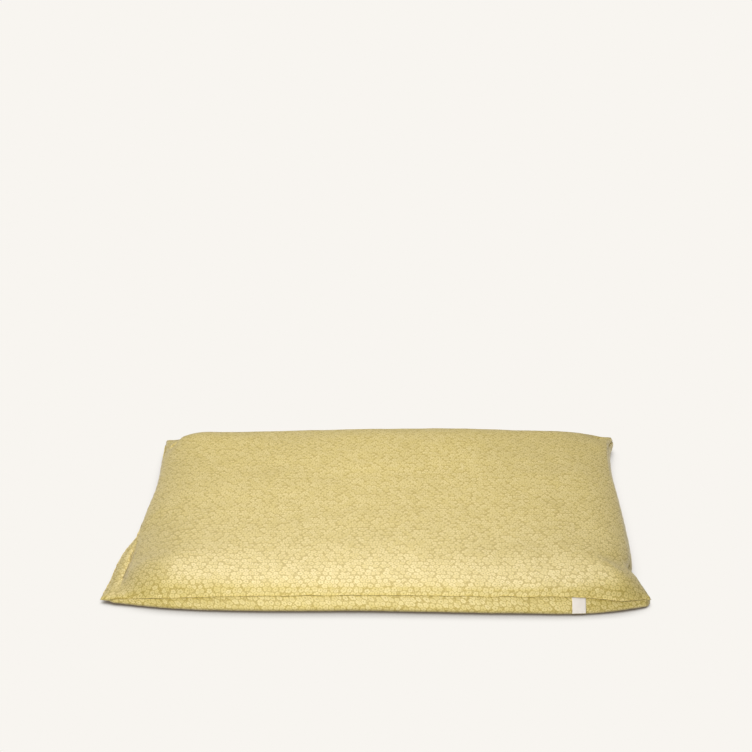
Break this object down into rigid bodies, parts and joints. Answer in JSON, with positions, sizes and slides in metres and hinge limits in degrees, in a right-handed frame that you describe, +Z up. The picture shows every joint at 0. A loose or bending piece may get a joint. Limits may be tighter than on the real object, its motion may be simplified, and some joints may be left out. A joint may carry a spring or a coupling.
{
  "type": "zabuton floor cushion",
  "caption": "Rectangular filled floor cushion in small-blossom cotton print, with knife-edge seam, drooping corner ears and a bare label folded into the front seam.",
  "frame": {"origin": "on the floor, under the middle of the whole cushion's outline", "axes": "+Z up through the thickness, +X along the longer side, -Y towards the front seam with the label"},
  "size_m": [0.88, 0.7216, 0.0636],
  "materials": {
    "printed_cotton": "matte plain-weave cotton in yellow-green, printed all over with small pale blossoms",
    "label_tape": "bare white woven tape"
  },
  "bodies": {
    "root": {"pad": "printed_cotton", "label": "label_tape"}
  },
  "joints": []
}
